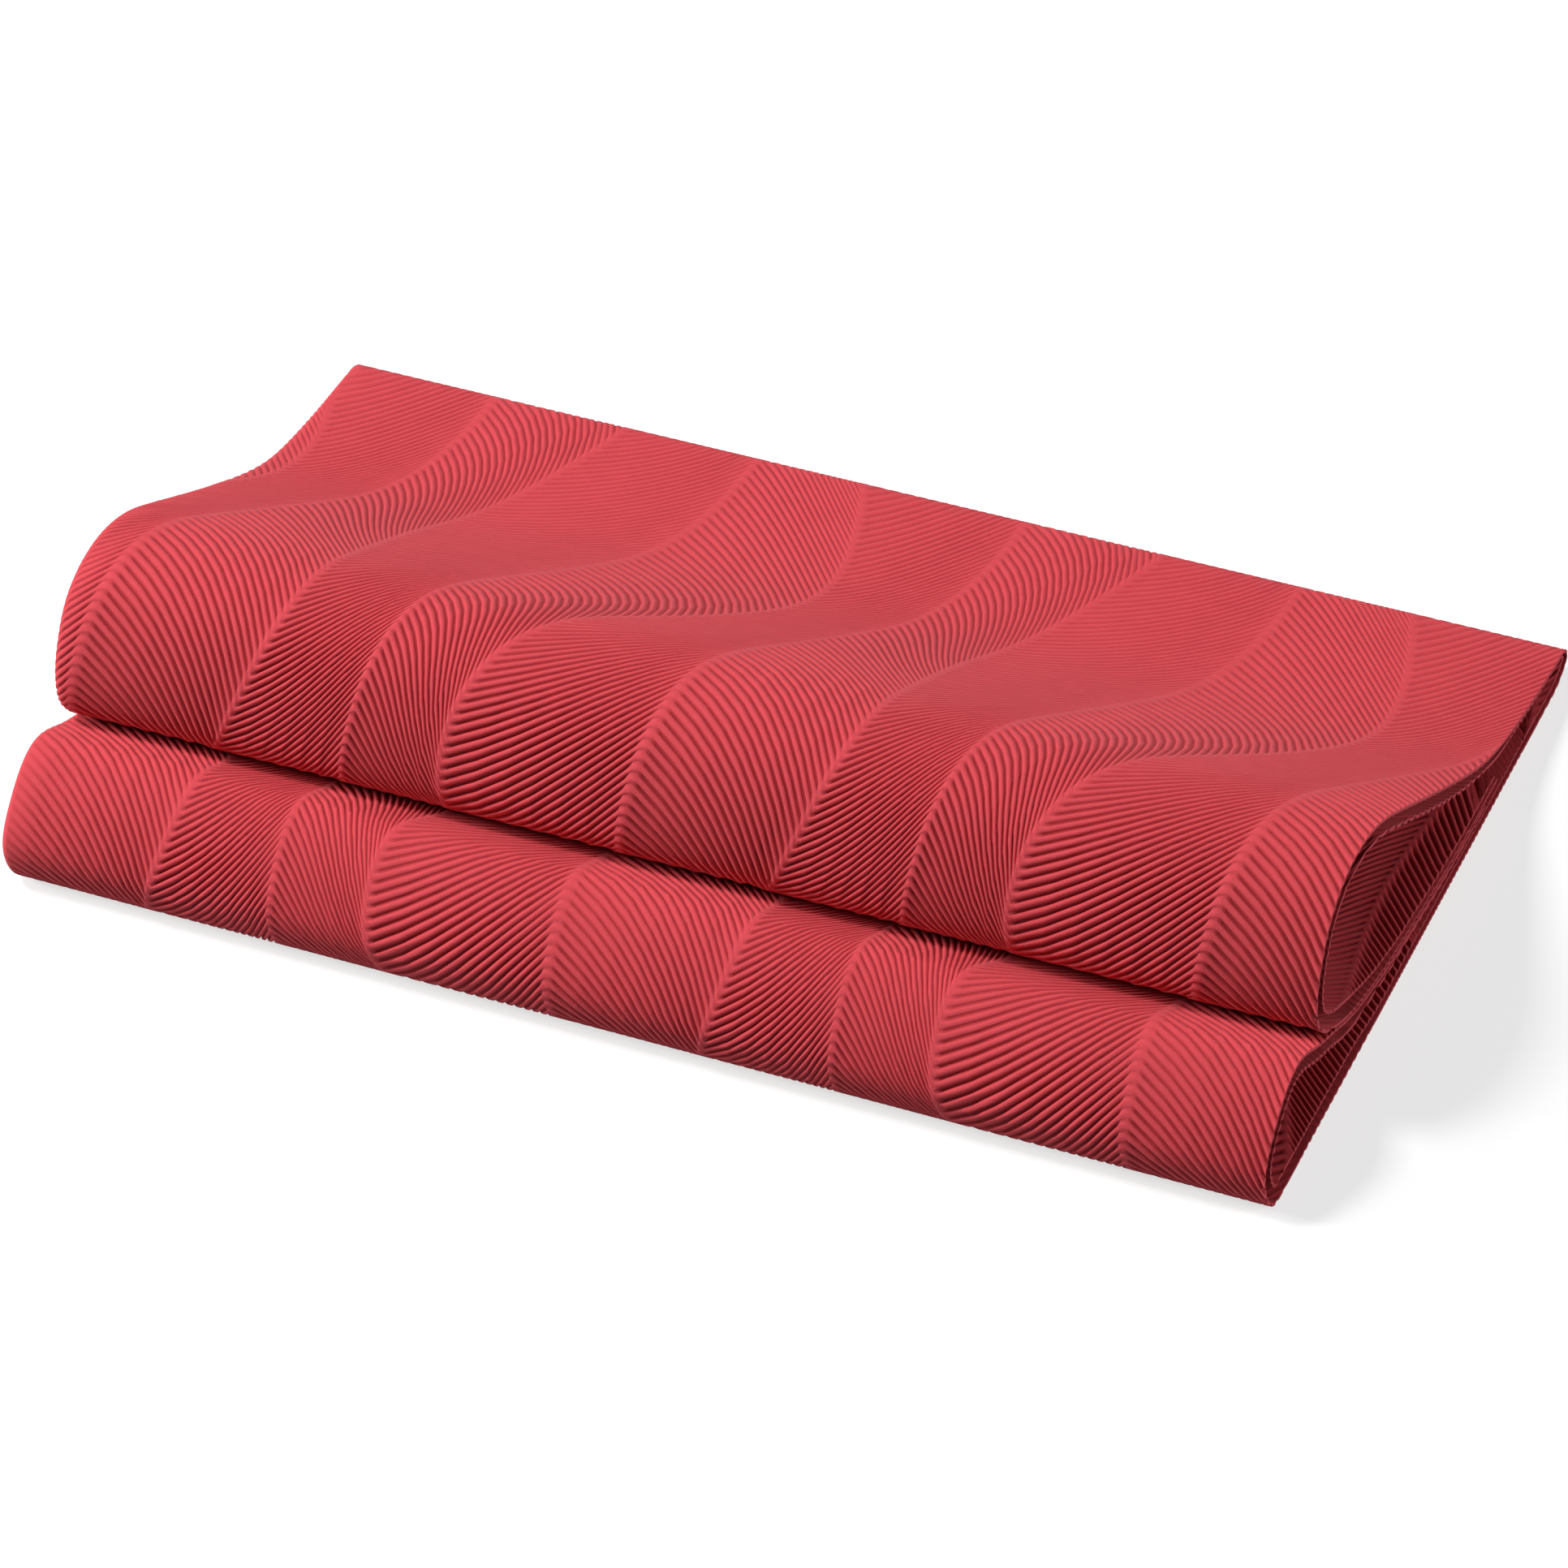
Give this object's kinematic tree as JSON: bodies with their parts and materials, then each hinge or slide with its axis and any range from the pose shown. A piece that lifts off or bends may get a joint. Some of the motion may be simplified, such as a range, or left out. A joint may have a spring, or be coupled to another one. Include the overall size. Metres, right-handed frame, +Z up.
{
  "type": "paper napkin",
  "caption": "Square embossed paper napkin, folded into a strip that lies flat on its base with open rolled folds along its front",
  "frame": {"origin": "the middle of the folded bundle, on the surface that it lies on", "axes": "+X runs along the bundle, from the creased end to the end with the cut edges; +Y from the open rolls at the front to the back crease; +Z up"},
  "size_m": [0.2, 0.117, 0.0362],
  "materials": {
    "paper": "matt, embossed with fine ribs"
  },
  "bodies": {
    "root": {"napkin": "paper"}
  },
  "joints": []
}
